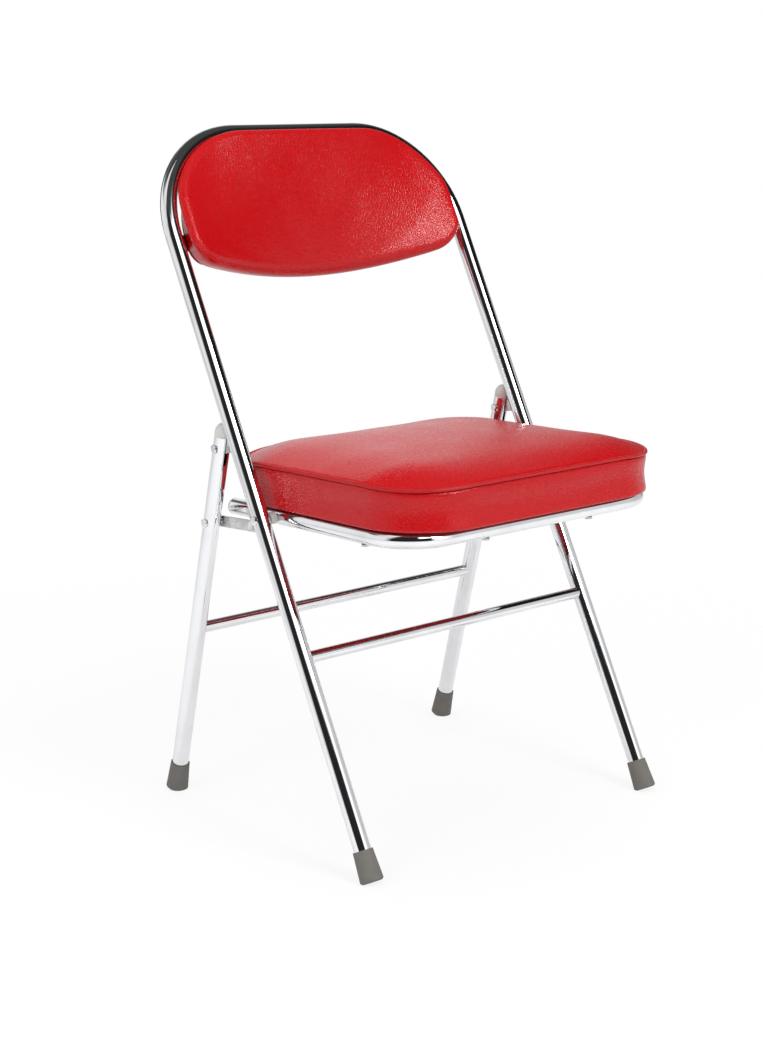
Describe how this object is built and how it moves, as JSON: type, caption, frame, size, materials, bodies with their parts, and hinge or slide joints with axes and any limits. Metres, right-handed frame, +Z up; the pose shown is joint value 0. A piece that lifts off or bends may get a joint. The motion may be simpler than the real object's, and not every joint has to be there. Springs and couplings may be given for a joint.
{
  "type": "folding chair",
  "caption": "Metal folding chair with a bent chrome tube frame, padded red vinyl seat and back, and grey rubber feet.",
  "frame": {"origin": "centre of the bounding box's bottom, on the floor between the four feet", "axes": "+Z up, -Y the way the sitter faces, +X the sitter's left"},
  "size_m": [0.467, 0.4746, 0.8042],
  "materials": {
    "chrome_tube": "polished",
    "plated_steel": "satin",
    "grey_rubber": "matte",
    "grey_plastic": "satin",
    "red_vinyl": "satin",
    "covered_board": "matte"
  },
  "bodies": {
    "front_frame": {"front_frame_tube": "chrome_tube", "front_crossbar": "chrome_tube", "hinge_tab_left": "plated_steel", "hinge_tab_right": "plated_steel", "front_foot_left": "grey_rubber", "front_foot_right": "grey_rubber", "backrest_board": "covered_board", "backrest_pad": "red_vinyl", "backrest_tabs": "plated_steel", "backrest_screws": "plated_steel", "seat_pivot_rivet_left": "plated_steel", "seat_pivot_rivet_right": "plated_steel", "seat_spacer_left": "grey_plastic", "seat_spacer_right": "grey_plastic"},
    "rear_legs": {"rear_leg_left": "chrome_tube", "rear_leg_right": "chrome_tube", "rear_crossbar": "chrome_tube", "leg_hinge_rivet_left": "plated_steel", "leg_hinge_rivet_right": "plated_steel", "leg_end_cap_left": "grey_plastic", "leg_end_cap_right": "grey_plastic", "rear_foot_left": "grey_rubber", "rear_foot_right": "grey_rubber", "link_leg_pin_left": "plated_steel", "link_leg_pin_right": "plated_steel"},
    "seat": {"seat_frame_tube": "chrome_tube", "seat_rear_crossbar": "chrome_tube", "seat_end_plug_left": "grey_plastic", "seat_end_plug_right": "grey_plastic", "seat_link_lug_left": "plated_steel", "seat_link_lug_right": "plated_steel", "seat_board": "covered_board", "seat_cushion": "red_vinyl", "seat_piping": "red_vinyl", "seat_screws": "plated_steel"},
    "link_left": {"fold_link_left": "plated_steel", "link_rivet_left": "plated_steel"},
    "link_right": {"fold_link_right": "plated_steel", "link_rivet_right": "plated_steel"}
  },
  "joints": [
    {"name": "seat_fold", "type": "hinge", "parent": "front_frame", "child": "seat", "pos_m": [0, 0.00662, 0.374], "axis": [-1, 0, 0], "range_deg": [0, 115.7]},
    {"name": "leg_fold", "type": "hinge", "parent": "front_frame", "child": "rear_legs", "pos_m": [0, 0.08117, 0.445], "axis": [-1, 0, 0], "range_deg": [0, 41.6]},
    {"name": "link_left_fold", "type": "hinge", "parent": "rear_legs", "child": "link_left", "pos_m": [0.20765, 0.10364, 0.35419], "axis": [-1, 0, 0], "range_deg": [-58.52, 0]},
    {"name": "link_right_fold", "type": "hinge", "parent": "rear_legs", "child": "link_right", "pos_m": [-0.20765, 0.10364, 0.35419], "axis": [-1, 0, 0], "range_deg": [-58.52, 0]}
  ],
  "couplings": [
    {"joint": "leg_fold", "follows": "seat_fold", "ratio": 0.35955},
    {"joint": "link_left_fold", "follows": "seat_fold", "ratio": -0.50576},
    {"joint": "link_right_fold", "follows": "seat_fold", "ratio": -0.50576}
  ]
}
